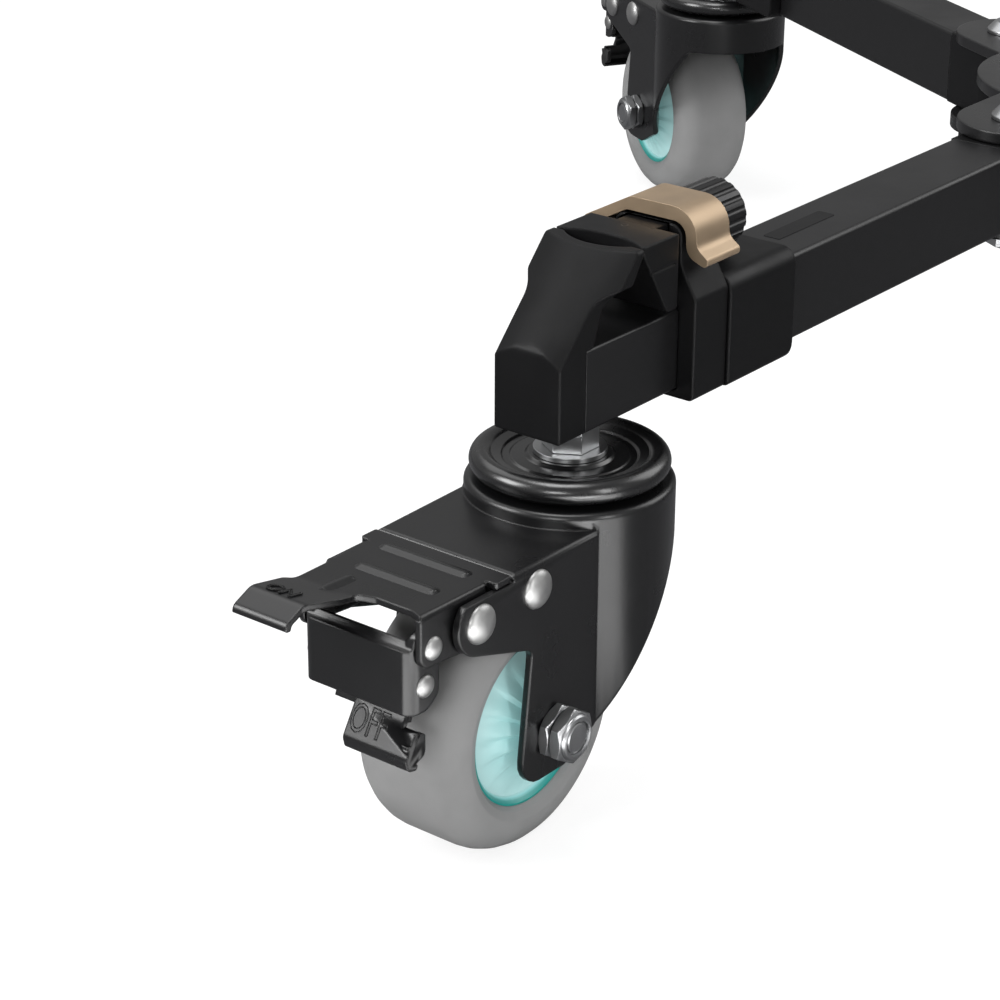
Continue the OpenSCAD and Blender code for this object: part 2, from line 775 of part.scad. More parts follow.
// ON pedal: ribbed plate with side ears, corner tabs and a raised toe with a curled lip
module brake_pedal() color("#262626") {
    under = fork_top - pedal_t;
    tab = fork_half - 0.4;
    rear = -plate_reach - 0.4;
    front = -bracket_x;
    toe = front - toe_len;
    difference() {
        union() {
            intersection() {
                across(-fork_half, fork_half)
                    pedal_profile(rear, front, toe, under);
                upright(under - 3, fork_top + 5)
                    polygon(soft([
                        [rear, -tab, 1], [rear, tab, 1], [rear - 6.4, tab, 1], [rear - 6.4, pedal_half - 0.9, 0.5],
                        [rear - 8, pedal_half - 0.9, 0.5], [rear - 8, pedal_half, 0], [front + 13, pedal_half, 3],
                        [front + 11, pedal_half - 1.4, 3], [front - 2, pedal_half - 1.4, 2],
                        [front - 4, pedal_half + 0.2, 2], [toe - 1, pedal_half + 0.2, 1], [toe - 1, 2.6, 1],
                        [toe + 6, 2.6, 3], [front - 4, 0.8, 5], [front + 1.6, 0.8, 2.4], [front + 3.2, -4.5, 2.4],
                        [front + 3.2, -15.5, 3], [front + 1.4, -pedal_half, 0.6], [rear - 8, -pedal_half, 0],
                        [rear - 8, -pedal_half + 0.9, 0.5], [rear - 6.4, -pedal_half + 0.9, 0.5],
                        [rear - 6.4, -tab, 1]
                    ], 4));
            }
            for (side = [-1, 1])
                translate([0, side * (pedal_half - pedal_t / 2), 0])
                    across(-pedal_t / 2, pedal_t / 2)
                        pedal_ear(under);
            ridge([rear - 6.9, 13.2], [rear - 6.9, -12.8]);
            ridge([rear - 19.6, 10.4], [rear - 19.6, -12.8]);
            ridge([front - 2.6, 8.9], [front + 7.4, 8]);
        }
        cross_bar(rivet_b, pin_b_r + run_gap, -fork_half, fork_half);
        cross_bar(rivet_c, pin_d_r + seat_gap, -fork_half, fork_half);
    }
}

// Side view of the pedal's sheet: flat, then up along the toe and down round its lip
module pedal_profile(rear, front, toe, under) {
    polygon(soft([
        [rear, under, 0], [rear, fork_top, 0.5], [front, fork_top, 12], [toe + 7, fork_top + 2.9, 5],
        [toe + 0.2, fork_top - 0.2, 2.2], [toe, fork_top - 2.2, 0.6], [toe + 1.8, fork_top - 2.4, 0.6],
        [toe + 2.2, fork_top - 1, 1.4], [toe + 7.2, fork_top + 1.1, 4], [front, under, 12]
    ]));
}

// Side ear of the pedal, round the pivot and the bracket's rivet
module pedal_ear(under) {
    polygon(soft([[rivet_b[0] + 5.2, under + 0.5, 0], [1.4 - bracket_x, under + 0.5, 0],
                  [1.4 - bracket_x, rivet_c[1] - 4.9, 3.5],
                  [rivet_c[0] + 3, rivet_c[1] - 4.9, 3], [rivet_b[0] - 3, rivet_b[1] - 7.4, 4],
                  [rivet_b[0] + 7.4, rivet_b[1] - 7.4, 6]]));
}

// Release bracket: a U of sheet below the pedal, with its rivets and the brake shoe
module release_bracket() color("#222222") {
    inner = bracket_half - pedal_t;
    open = 20 - bracket_x;
    r = 3.2;
    difference() {
        union() {
            intersection() {
                upright(bracket_z, rivet_c[1] + 5)
                    difference() {
                        polygon(soft([[-bracket_x, -bracket_half, r], [-bracket_x, bracket_half, r],
                                      [open, bracket_half, 0], [open, -bracket_half, 0]]));
                        polygon(soft([[-bracket_x + pedal_t, -inner, r - pedal_t],
                                      [-bracket_x + pedal_t, inner, r - pedal_t],
                                      [open + 1, inner, 0], [open + 1, -inner, 0]]));
                    }
                across(-bracket_half, bracket_half)
                    polygon(soft([
                        [-bracket_x, bracket_z, 0], [rivet_d[0] + 0.6, bracket_z, 2],
                        [rivet_d[0] + 5.4, bracket_z + 3, 3.5],
                        [rivet_d[0] + 5.4, rivet_c[1] + 4.6, 3], [rivet_c[0] - 4.2, rivet_c[1] + 4.6, 3],
                        [rivet_c[0] - 4.4, bracket_top, 1.5], [-bracket_x, bracket_top, 0]
                    ]));
            }
            brake_shoe(inner);
        }
        cross_bar(rivet_d, pin_d_r + seat_gap, -fork_half, fork_half);
        cross_bar(rivet_c, pin_d_r + seat_gap, -fork_half, fork_half);
    }
    for (side = [-1, 1]) {
        small_pin(rivet_c, pedal_half, side, inner);
        small_pin(rivet_d, bracket_half, side, inner - 2.8);
    }
}

// Shoe that the pedal swings against the tread, held by an arm on the bracket's left wall
module brake_shoe(inner) {
    swing_room = 4.9;
    low = [cos(161), sin(161)];
    high = [cos(146), sin(146)];
    hub = [-trail, axle_z];
    r = axle_z + swing_room;
    arm_x = rivet_d[0] + 3.9;
    intersection() {
        across(-8, inner)
            translate(hub)
                difference() {
                    circle(r + 2);
                    circle(r);
                }
        across(-9, inner + 1)
            translate(hub)
                polygon([[0, 0], 2 * r * high, 2 * r * low]);
    }
    across(inner - 1.6, inner + 0.5)
        polygon([
            hub + (r + 0.2) * high, hub + (r + 0.2) * low,
            [arm_x, bracket_z + 0.3], [arm_x, rivet_d[1] + 2]
        ]);
}

// A small rivet: domed head on the plate at y = face, shank in to y = depth
module small_pin(at, face, side, depth) {
    dome(at, small_rivet, face, side);
    from = side > 0 ? depth : -face;
    cross_bar(at, pin_d_r, from, from + face - depth);
}

// OFF pedal: a toe below the bracket with a curled edge and a hook, hung on the lower rivets
module off_pedal() color("#2c2c2c") {
    lug = bracket_half - pedal_t - 0.6;
    eye_r = 3;
    toe_x = -bracket_x - 2.2;
    toe_z = bracket_z - 11.2;
    difference() {
        union() {
            across(-13.6, 3)
                off_profile(toe_x, toe_z);
            intersection() {
                across(-bracket_half, -12)
                    off_profile(toe_x, toe_z);
                upright(toe_z - 6, toe_z + 6)
                    polygon(soft([[toe_x - 3, -bracket_half, 3], [toe_x - 3, -10, 0], [rivet_d[0] + 2, -10, 0],
                                  [rivet_d[0] + 2, -bracket_half, 0]]));
            }
            across(-bracket_half, -bracket_half + 1.8)
                polygon(soft([
                    [toe_x + 2.5, toe_z - 2.9, 0.8], [toe_x + 7.6, toe_z - 1, 2], [toe_x + 7.6, toe_z + 5.2, 1],
                    [toe_x + 5.6, toe_z + 5.2, 1], [toe_x + 3.8, toe_z + 2.8, 2], [toe_x + 0.4, toe_z + 4, 0]
                ]));
            across(-lug, lug)
                polygon([[rivet_d[0] - 1.5, rivet_d[1] - 7.4], [rivet_d[0] + 0.2, rivet_d[1] - 7.4],
                         [rivet_d[0] + 0.2, rivet_d[1] - 2.6], [rivet_d[0] - 1.5, rivet_d[1] - 2.6]]);
            for (side = [-1, 1])
                across(side > 0 ? lug - 1.8 : -lug, side > 0 ? lug : -lug + 1.8) {
                    translate(rivet_d)
                        circle(eye_r);
                    translate([rivet_d[0] - 1.5, rivet_d[1] - 7])
                        square([3, 7]);
                }
        }
        cross_bar(rivet_d, pin_d_r + run_gap, -fork_half, fork_half);
    }
}

// Side view of the OFF pedal's sheet
module off_profile(toe_x, toe_z) {
    polygon(soft([
        [rivet_d[0] - 1.5, rivet_d[1] - 4, 0], [rivet_d[0] - 1.5, rivet_d[1] - 8.2, 3], [toe_x, toe_z, 2],
        [toe_x + 0.8, toe_z - 3.4, 1.6], [toe_x + 4.4, toe_z - 4.2, 0.8], [toe_x + 4.6, toe_z - 2.6, 0.8],
        [toe_x + 2.2, toe_z - 1.6, 1], [toe_x + 2, toe_z + 0.4, 1.5], [rivet_d[0] + 0.2, rivet_d[1] - 8.6, 3],
        [rivet_d[0] + 0.2, rivet_d[1] - 4, 0]
    ], 4));
}

// Plan of the hub: three lobes blended into the centre
module hub_plan() {
    circle(pivot_reach - lobe_r, $fn = 96);
    for (i = [1:3])
        on_arm(i) {
            translate([pivot_x, 0])
                circle(lobe_r, $fn = 64);
            translate([pivot_x, -lobe_r])
                square([pivot_reach, 2 * lobe_r]);
        }
}

// Hub base with its boss and the lugs that hold arm 1 and stop arms 2 and 3
module hub_body() color("#232323") {
    inset = outer_w / 2 + 0.3;
    difference() {
        union() {
            upright(base_z, base_top)
                hub_plan();
            cylinder_between(boss_r, base_top - 1, cover_z);
            for (stop = [[1, -1], [1, 1], [2, 1], [3, -1]])
                on_arm(stop[0])
                    translate([pivot_x - 10, stop[1] > 0 ? inset : -inset - lug_t, base_top - 1])
                        cube([30, lug_t, cover_z - base_top + 1]);
        }
        hub_holes(base_z - 1, cover_z + 1);
    }
}

// Centre hole and the three pivot holes
module hub_holes(from, to) {
    cylinder_between(centre_d / 2, from, to);
    for (i = [1:3])
        on_arm(i)
            translate([pivot_x, 0, from])
                cylinder(r = pivot_d / 2 + seat_gap, h = to - from);
}

// Hub cover plate
module hub_cover() color("#2a2a2a") {
    difference() {
        upright(cover_z, cover_top)
            hub_plan();
        hub_holes(cover_z - 1, cover_top + 1);
    }
}

// Three pivot bolts with button heads above and lock nuts below
module pivot_bolts() color("#b8b8b8") {
    for (i = [1:3])
        on_arm(i)
            translate([pivot_x, 0, 0]) {
                cylinder_between(pivot_d / 2, base_z - 8, cover_top + 0.5);
                translate([0, 0, cover_top])
                    rotate_extrude()
                        polygon(soft([[0, 0, 0], [pivot_d / 2 + 4, 0, 0], [pivot_d / 2 + 4, 1.2, 0.6],
                                      [pivot_d / 2 + 1, 4.4, 2], [0, 4.4, 0]]));
                translate([0, 0, base_z - 6.4])
                    cylinder(r = (pivot_d + 6) / 2 / cos(30), h = 6.4, $fn = 6);
            }
}

hub_body();
hub_cover();
pivot_bolts();
for (i = [1:3]) {
    on_arm(i) outer_tube();
    on_arm(i) arm_knuckle();
    on_arm(i) tube_sleeve();
    on_arm(i) clamp_collar();
    on_arm(i) clamp_lever();
    on_arm(i) adjust_knob();
    on_arm(i) foot_jaw();
    on_arm(i) inner_tube();
    on_arm(i) foot_cap();
    on_arm(i) caster_stem();
    on_arm(i) swivel_ring();
    on_arm(i) fork();
    on_arm(i) fork_rivets();
    on_arm(i) tyre();
    on_arm(i) wheel_hub();
    on_arm(i) axle_bolt();
    on_arm(i) brake_pedal();
    on_arm(i) release_bracket();
    on_arm(i) off_pedal();
}
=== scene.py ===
import bpy
import bmesh
import json
import math
from mathutils import Matrix, Vector


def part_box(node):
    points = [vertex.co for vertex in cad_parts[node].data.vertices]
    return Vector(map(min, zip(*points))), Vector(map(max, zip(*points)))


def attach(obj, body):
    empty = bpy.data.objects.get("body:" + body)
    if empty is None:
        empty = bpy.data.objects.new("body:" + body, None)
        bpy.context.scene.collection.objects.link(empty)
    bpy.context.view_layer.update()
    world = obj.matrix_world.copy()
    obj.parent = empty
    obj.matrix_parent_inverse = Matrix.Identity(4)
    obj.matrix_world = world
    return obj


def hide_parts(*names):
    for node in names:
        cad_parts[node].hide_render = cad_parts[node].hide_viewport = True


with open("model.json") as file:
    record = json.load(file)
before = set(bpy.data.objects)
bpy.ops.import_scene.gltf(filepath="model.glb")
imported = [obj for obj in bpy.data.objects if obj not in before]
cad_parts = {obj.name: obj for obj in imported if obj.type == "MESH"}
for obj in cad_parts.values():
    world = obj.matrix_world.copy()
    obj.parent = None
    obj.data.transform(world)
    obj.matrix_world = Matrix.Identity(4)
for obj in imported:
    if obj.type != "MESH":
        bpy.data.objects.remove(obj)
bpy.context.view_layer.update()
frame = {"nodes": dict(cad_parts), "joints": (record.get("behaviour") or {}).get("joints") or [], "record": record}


# Camera
# The photograph looks down on one foot from the front right, with a long lens. Place and
# direction come from a least squares fit of the arm's edges, the swivel ring and both wheels.
EYE = Vector((-0.85176, -0.40884, 0.38747))
PITCH, YAW, ROLL = (math.radians(a) for a in (23.92, 38.47, 0.31))
LENS, SENSOR = 98.76, 36
forward = Vector((math.cos(YAW) * math.cos(PITCH), math.sin(YAW) * math.cos(PITCH), -math.sin(PITCH)))
level = Vector((math.sin(YAW), -math.cos(YAW), 0))
above = level.cross(forward)
right = level * math.cos(ROLL) + above * math.sin(ROLL)
up = above * math.cos(ROLL) - level * math.sin(ROLL)
camera_data = bpy.data.cameras.new("camera")
camera_data.lens = LENS
camera_data.sensor_width = SENSOR
camera_data.clip_end = 20
camera = bpy.data.objects.new("camera", camera_data)
bpy.context.scene.collection.objects.link(camera)
camera.matrix_world = Matrix.Translation(EYE) @ Matrix((right, up, -forward)).transposed().to_4x4()
bpy.context.scene.camera = camera
bpy.context.scene.view_settings.view_transform = "Standard"


# Studio
# A white floor that runs on without a horizon, a dim white room and large soft lamps. The
# camera sees the room at full white, and gloss sees little of that, so black pieces stay black.
FLOOR_HALF = 6.0
FLOOR_PAPER, FLOOR_IN_GLOSS = 0xF4F4F4, 0x747476
FLOOR_GLOW, GLOW_SHARE = 1.12, 0.74
ROOM_LIGHT, ROOM_SEEN, WHITE_IN_GLOSS = 0.31, 1.0, 0.03
WHITE = (1, 1, 1, 1)
FOOT = Vector((-0.31, 0, 0.09))


def srgb(code):
    """Turns a hex colour as a screen shows it into the linear values that a shader takes."""
    out = []
    for shift in (16, 8, 0):
        c = ((code >> shift) & 255) / 255
        out.append(c / 12.92 if c <= 0.04045 else ((c + 0.055) / 1.055) ** 2.4)
    return (*out, 1)


def add(tree, kind, settings=None, inputs=None):
    """Adds one node, sets its properties, and sets or links each of its inputs."""
    node = tree.nodes.new(kind)
    for key, value in (settings or {}).items():
        setattr(node, key, value)
    for key, value in (inputs or {}).items():
        if isinstance(value, bpy.types.NodeSocket):
            tree.links.new(value, node.inputs[key])
        else:
            node.inputs[key].default_value = value
    return node


def new_material(name):
    """An empty material; returns the material, its tree and its output node."""
    material = bpy.data.materials.new(name)
    material.use_nodes = True
    tree = material.node_tree
    tree.nodes.clear()
    return material, tree, add(tree, "ShaderNodeOutputMaterial")


def flat_card(name, low, high, height):
    """A rectangle from low to high that lies level at a height, linked to the scene."""
    corners = (low, (high[0], low[1]), high, (low[0], high[1]))
    mesh = bpy.data.meshes.new(name)
    mesh.from_pydata([(x, y, height) for x, y in corners], [], [(0, 1, 2, 3)])
    card = bpy.data.objects.new(name, mesh)
    bpy.context.scene.collection.objects.link(card)
    return card


floor = flat_card("floor", (-FLOOR_HALF, -FLOOR_HALF), (FLOOR_HALF, FLOOR_HALF), 0)
floor_finish, tree, out = new_material("white_studio_floor")
path = add(tree, "ShaderNodeLightPath")
paper = add(tree, "ShaderNodeBsdfDiffuse", None, {"Color": srgb(FLOOR_PAPER)})
dim_paper = add(tree, "ShaderNodeBsdfDiffuse", None, {"Color": srgb(FLOOR_IN_GLOSS)})
glow = add(tree, "ShaderNodeEmission", None, {"Color": WHITE, "Strength": FLOOR_GLOW})
seen_floor = add(tree, "ShaderNodeMixShader", None, {
    0: GLOW_SHARE, 1: paper.outputs[0], 2: glow.outputs[0]})
unseen_floor = add(tree, "ShaderNodeMixShader", None, {
    0: path.outputs["Is Glossy Ray"], 1: paper.outputs[0], 2: dim_paper.outputs[0]})
floor_look = add(tree, "ShaderNodeMixShader", None, {
    0: path.outputs["Is Camera Ray"], 1: unseen_floor.outputs[0], 2: seen_floor.outputs[0]})
tree.links.new(floor_look.outputs[0], out.inputs["Surface"])
floor.data.materials.append(floor_finish)

world = bpy.data.worlds.new("studio")
bpy.context.scene.world = world
world.use_nodes = True
tree = world.node_tree
tree.nodes.clear()
path = add(tree, "ShaderNodeLightPath")
room = add(tree, "ShaderNodeBackground", None, {"Color": WHITE, "Strength": ROOM_LIGHT})
seen = add(tree, "ShaderNodeBackground", None, {"Color": WHITE, "Strength": ROOM_SEEN})
mirrored = add(tree, "ShaderNodeMath", {"operation": "MULTIPLY"}, {
    0: path.outputs["Is Glossy Ray"], 1: WHITE_IN_GLOSS})
through = add(tree, "ShaderNodeMath", {"operation": "MAXIMUM"}, {
    0: path.outputs["Is Camera Ray"], 1: path.outputs["Is Transmission Ray"]})
share = add(tree, "ShaderNodeMath", {"operation": "MAXIMUM"}, {
    0: through.outputs[0], 1: mirrored.outputs[0]})
mixed = add(tree, "ShaderNodeMixShader", None, {
    0: share.outputs[0], 1: room.outputs[0], 2: seen.outputs[0]})
add(tree, "ShaderNodeOutputWorld", None, {"Surface": mixed.outputs[0]})


def soft_lamp(name, place, width, height, watts):
    """A rectangular area lamp at place that faces the foot."""
    data = bpy.data.lights.new(name, "AREA")
    data.shape = "RECTANGLE"
    data.size = width
    data.size_y = height
    data.energy = watts
    lamp = bpy.data.objects.new(name, data)
    bpy.context.scene.collection.objects.link(lamp)
    lamp.location = place
    lamp.rotation_euler = (FOOT - Vector(place)).to_track_quat("-Z", "Y").to_euler()


soft_lamp("lamp_top", (-0.45, 0.1, 1.6), width=0.7, height=0.7, watts=12)
soft_lamp("lamp_left", (-1.36, 0.87, 0.92), width=0.7, height=0.7, watts=17)
soft_lamp("lamp_right", (-0.6, -1.35, 0.62), width=0.22, height=0.8, watts=6)
soft_lamp("lamp_edge", (1.0, -0.68, 1.05), width=1.1, height=1.1, watts=10)
soft_lamp("lamp_back", (-0.08, 0.93, 1.3), width=1.0, height=1.0, watts=4.5)
soft_lamp("lamp_front", (-1.35, -0.42, 0.5), width=0.34, height=0.16, watts=3.4)


# Reflector cards
# White cards on the floor in front of the foot, which only the gloss of the pieces sees. They
# draw the bands of light on the fork's skirt, the bracket's corner and the cap's upright edge.
CARD_LIFT = 0.001


def reflector(name, low, high, strength):
    """A card from low to high on the floor, that shows nowhere but in gloss."""
    card = flat_card(name, low, high, CARD_LIFT)
    material, tree, out = new_material(f"lit_{name}")
    path = add(tree, "ShaderNodeLightPath")
    clear = add(tree, "ShaderNodeBsdfTransparent")
    lit = add(tree, "ShaderNodeEmission", None, {"Color": WHITE, "Strength": strength})
    look = add(tree, "ShaderNodeMixShader", None, {
        0: path.outputs["Is Glossy Ray"], 1: clear.outputs[0], 2: lit.outputs[0]})
    tree.links.new(look.outputs[0], out.inputs["Surface"])
    card.data.materials.append(material)


reflector("skirt_card", (-0.4, -0.36), (-0.3, -0.1), strength=4.2)
reflector("bracket_card", (-0.66, -0.14), (-0.46, 0.03), strength=5.5)
reflector("leg_card", (-0.455, -0.12), (-0.38, -0.07), strength=4.5)
reflector("cap_card", (-0.62, -0.42), (-0.42, -0.17), strength=12.0)


# Hub
# Two steel plates, pressed and coated black, hold the three arm ends between them on spacers. A
# coated lid closes the middle, and three zinc plated pivot bolts clamp the ends.
NODES = frame["nodes"]
BODY_OF = {node: body for body, nodes in frame["record"]["behaviour"]["bodies"].items() for node in nodes}
JOINTS = {joint["name"]: joint for joint in frame["joints"]}
ARMS = (1, 2, 3)
MM = 0.001
WELD = 0.002
FLAT_WITHIN = math.radians(0.6)
SOFT_BELOW = math.radians(28)
BEND_STEPS = 5


def shade(code, factor):
    """A hex colour made lighter or darker."""
    return tuple(min(1, c * factor) for c in srgb(code)[:3]) + (1,)


def finish(name, code=None, rough=0.4, grain=0.5, depth=0.01, cloud=10, metallic=0.0, specular=0.5,
           stretch=(1, 1, 1), edge=0.0):
    """A material with a fine raised grain and slow clouds of tone and gloss over it.

    grain is the size and depth the height of the grain, and cloud the size of the slow noise, all in
    mm. A grain that is finer on the real piece is drawn as coarse as the render needs to show it.
    edge is the width in mm over which the light turns softly round a corner. Without a code the
    colour is left to the piece's own section."""
    material, tree, out = new_material(name)
    spot = add(tree, "ShaderNodeTexCoord").outputs["Object"]
    scale = tuple(s / (grain * MM) for s in stretch)
    fine = add(tree, "ShaderNodeMapping", None, {"Vector": spot, "Scale": scale})
    grit = add(tree, "ShaderNodeTexNoise", None, {"Vector": fine.outputs[0], "Scale": 1.0, "Detail": 2.0})
    patch = add(tree, "ShaderNodeTexNoise", None, {"Vector": spot, "Scale": 1 / (cloud * MM), "Detail": 3.0})
    gloss = add(tree, "ShaderNodeMapRange", None, {
        "Value": patch.outputs[0], "From Min": 0.3, "From Max": 0.7,
        "To Min": rough * 0.88, "To Max": rough * 1.12})
    raised = add(tree, "ShaderNodeBump", None, {
        "Height": grit.outputs[0], "Distance": depth * MM, "Strength": 1.0})
    if edge:
        corner = add(tree, "ShaderNodeBevel", {"samples": 6}, {"Radius": edge * MM})
        tree.links.new(corner.outputs[0], raised.inputs["Normal"])
    shader = add(tree, "ShaderNodeBsdfPrincipled", None, {
        "Roughness": gloss.outputs[0], "Metallic": metallic, "Normal": raised.outputs[0]})
    if code is not None:
        tone = add(tree, "ShaderNodeMix", {"data_type": "RGBA"}, {
            0: patch.outputs[0], 6: shade(code, 0.86), 7: shade(code, 1.14)})
        tree.links.new(tone.outputs[2], shader.inputs["Base Color"])
    if not metallic:
        shader.inputs["Specular IOR Level"].default_value = specular
    tree.links.new(shader.outputs[0], out.inputs["Surface"])
    return material, tree, shader


def arm_matrix(arm):
    """From an arm's own frame to the shared one.

    An arm's frame has its origin under the swivel axis and X towards the hub."""
    x, y = JOINTS[f"swivel_{arm}"]["pos_m"][:2]
    return Matrix.Translation((x, y, 0)) @ Matrix.Rotation(math.atan2(-y, -x), 4, "Z")


FROM_ARM = {arm: arm_matrix(arm) for arm in ARMS}
TO_ARM = {arm: FROM_ARM[arm].inverted() for arm in ARMS}


def arm_of(name):
    """The arm that a node belongs to. For the hub's pieces arm 1's frame serves."""
    return int(name[-1]) if name[-1].isdigit() else 1


def merged(name):
    """A CAD node's shape with its loose triangles joined into flat faces."""
    work = bmesh.new()
    work.from_mesh(NODES[name].data)
    bmesh.ops.remove_doubles(work, verts=work.verts, dist=WELD * MM)
    bmesh.ops.dissolve_limit(work, angle_limit=FLAT_WITHIN, verts=work.verts, edges=work.edges)
    return work


def stand(name, mesh, material, body, arm=0, sharp=40):
    """Makes a mesh an object of the scene: its finish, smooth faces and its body.

    With an arm, the mesh is in mm in that arm's own frame, and is moved to its place first."""
    if isinstance(mesh, bmesh.types.BMesh):
        work = mesh
        bmesh.ops.recalc_face_normals(work, faces=work.faces)
        mesh = bpy.data.meshes.new(name)
        work.to_mesh(mesh)
        work.free()
    if arm:
        mesh.transform(FROM_ARM[arm] @ Matrix.Scale(MM, 4))
    mesh.name = name
    mesh.materials.clear()
    mesh.materials.append(material)
    if sharp:
        mesh.polygons.foreach_set("use_smooth", [True] * len(mesh.polygons))
        mesh.set_sharp_from_angle(angle=math.radians(sharp))
    obj = bpy.data.objects.new(name, mesh)
    bpy.context.scene.collection.objects.link(obj)
    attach(obj, body)
    return obj


def room_for(edge):
    """The widest round that an edge's neighbours leave it: just under half of the shortest one."""
    along = (edge.verts[1].co - edge.verts[0].co).normalized()
    room = 1.0
    for v in edge.verts:
        for other in v.link_edges:
            span = other.other_vert(v).co - v.co
            if other != edge and abs(span.normalized().dot(along)) < 0.8:
                room = min(room, 0.45 * span.length)
    return room


def true_normals(mesh, arm, curve):
    """Gives the corners of a curved wall the direction of the true curve."""
    facing = [Vector(n.vector) for n in mesh.corner_normals]
    for face in mesh.polygons:
        flat = TO_ARM[arm].to_3x3() @ face.normal
        for k in face.loop_indices:
            true = curve(TO_ARM[arm] @ mesh.vertices[mesh.loops[k].vertex_index].co / MM, flat)
            if true:
                facing[k] = FROM_ARM[arm].to_3x3() @ true
    mesh.normals_split_custom_set(facing)


def rounded(name, piece, material, slot, radius, steps=3, bends=(), mend=None, curve=None):
    """Stands a round-edged copy of a CAD node in its place.

    radius is the round on its edges in mm. bends gives (test, radius) for edges that are bent or
    blended wider, and test takes the two ends of an edge in mm in the arm's frame. mend takes a corner
    in the same frame and gives its better place. curve takes a corner and its face's direction, and
    gives the true direction of a curved wall there, or None."""
    arm = arm_of(name)
    work = merged(name)
    if mend:
        for v in work.verts:
            v.co = FROM_ARM[arm] @ (mend(TO_ARM[arm] @ v.co / MM) * MM)
    for test, wide in bends:
        chosen = [edge for edge in work.edges if test(*(TO_ARM[arm] @ v.co / MM for v in edge.verts))]
        bmesh.ops.bevel(work, geom=chosen, offset=wide * MM, segments=BEND_STEPS, profile=0.5,
                        affect="EDGES", clamp_overlap=False)
    layer = work.edges.layers.float.new("bevel_weight_edge")
    for edge in work.edges:
        if len(edge.link_faces) == 2 and edge.calc_face_angle(0) > SOFT_BELOW:
            edge[layer] = min(1, room_for(edge) / MM / radius)
    mesh = bpy.data.meshes.new(piece)
    work.to_mesh(mesh)
    work.free()
    mesh.polygons.foreach_set("use_smooth", [True] * len(mesh.polygons))
    shape = bpy.data.objects.new(piece, mesh)
    bpy.context.scene.collection.objects.link(shape)
    bevel = shape.modifiers.new("round", "BEVEL")
    bevel.limit_method = "WEIGHT"
    bevel.width = radius * MM
    bevel.segments = steps
    bevel.use_clamp_overlap = True
    even = shape.modifiers.new("even", "WEIGHTED_NORMAL")
    even.keep_sharp = True
    even.weight = 50
    baked = bpy.data.meshes.new_from_object(shape.evaluated_get(bpy.context.evaluated_depsgraph_get()))
    bpy.data.objects.remove(shape)
    if curve:
        true_normals(baked, arm, curve)
    obj = stand(piece, baked, material, BODY_OF[name], sharp=0)
    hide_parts(name)


# Electrocoated steel sheet: a smooth skin with a slight orange peel that bends the highlights.
COATED = finish("electrocoated_steel_black", 0x101011, rough=0.3, grain=1.4, depth=0.012, cloud=18,
                specular=0.52, edge=0.8)[0]
# Zinc plating on turned and pressed steel: bright with cloudy patches.
ZINC = finish("zinc_plated_steel", 0xA8A9AA, rough=0.32, grain=0.5, depth=0.006, cloud=5, metallic=1.0)[0]
rounded("hub_body", "hub_plates", COATED, "hub_black", radius=0.5)
rounded("hub_cover", "hub_lid", COATED, "hub_black", radius=0.5)
rounded("pivot_bolts", "hub_bolts", ZINC, "zinc_steel", radius=0.3)


# Arms
# Extruded aluminium tubes, black anodised, sawn to length and deburred, with the moulded end
# that turns in the hub and the moulded sleeve and collar pushed on at the wheel end.
def on_arms(stem, piece, material, slot, **shape):
    """Stands the round-edged copies of a CAD piece that every arm has."""
    for arm in ARMS:
        rounded(f"{stem}_{arm}", f"{piece}_{arm}", material, slot, **shape)


# Black anodised extrusion: faint lines along the draw, with a silky gloss.
TUBE = finish("anodised_aluminium_black", 0x121213, rough=0.38, grain=0.25, depth=0.004, cloud=25,
              specular=0.36, stretch=(0.06, 1, 1))[0]
# Glass-filled nylon: a matt spark-eroded grain that breaks up the light on the edges.
MOULDED = finish("glass_filled_nylon_black", 0x0E0E0F, rough=0.42, grain=0.35, depth=0.012, cloud=12,
                 specular=0.17, edge=1.2)[0]
on_arms("outer_tube", "arm_tube", TUBE, "tube_black", radius=0.25)
on_arms("inner_tube", "foot_tube", TUBE, "tube_black", radius=0.25)
on_arms("arm_knuckle", "arm_end", MOULDED, "moulded_black", radius=0.5)
on_arms("tube_sleeve", "arm_sleeve", MOULDED, "moulded_black", radius=0.4)
on_arms("clamp_collar", "arm_collar", MOULDED, "moulded_black", radius=0.4)


# Vise
# The moulded end cap with its leaning horn, and the jaw that the fluted knob draws back along the
# collar. The lever over them is a bent bar of blasted aluminium.

# Knob plastic: satin, a little greasy where fingers turn it.
KNOB = finish("moulded_abs_black", 0x0C0C0D, rough=0.36, grain=0.4, depth=0.01, cloud=8, specular=0.4)[0]
# Blasted and bronze anodised aluminium: a fine frosty grain that spreads its highlights.
BRONZE = finish("blasted_bronze_anodised_aluminium", 0xA8937A, rough=0.42, grain=0.18, depth=0.01, cloud=9,
                metallic=0.7)[0]
on_arms("foot_cap", "foot_horn", MOULDED, "moulded_black", radius=0.9)
on_arms("foot_jaw", "vise_jaw", MOULDED, "moulded_black", radius=0.4)
on_arms("adjust_knob", "vise_knob", KNOB, "knob_black", radius=0.2, steps=2)
on_arms("clamp_lever", "vise_lever", BRONZE, "lever_bronze", radius=0.7)


# Jaw pin
# The end of the pin that keeps the jaw on its guide, pressed in from the top: a small ring that
# stands just proud of the jaw round a blind hole.
PIN_AT = (24, 1)
PIN_SHAPE = [(0, -0.9), (0.75, -0.9), (0.75, 0.03), (1.05, 0.04), (1.15, -0.1), (1.15, -1.4), (0, -1.4)]


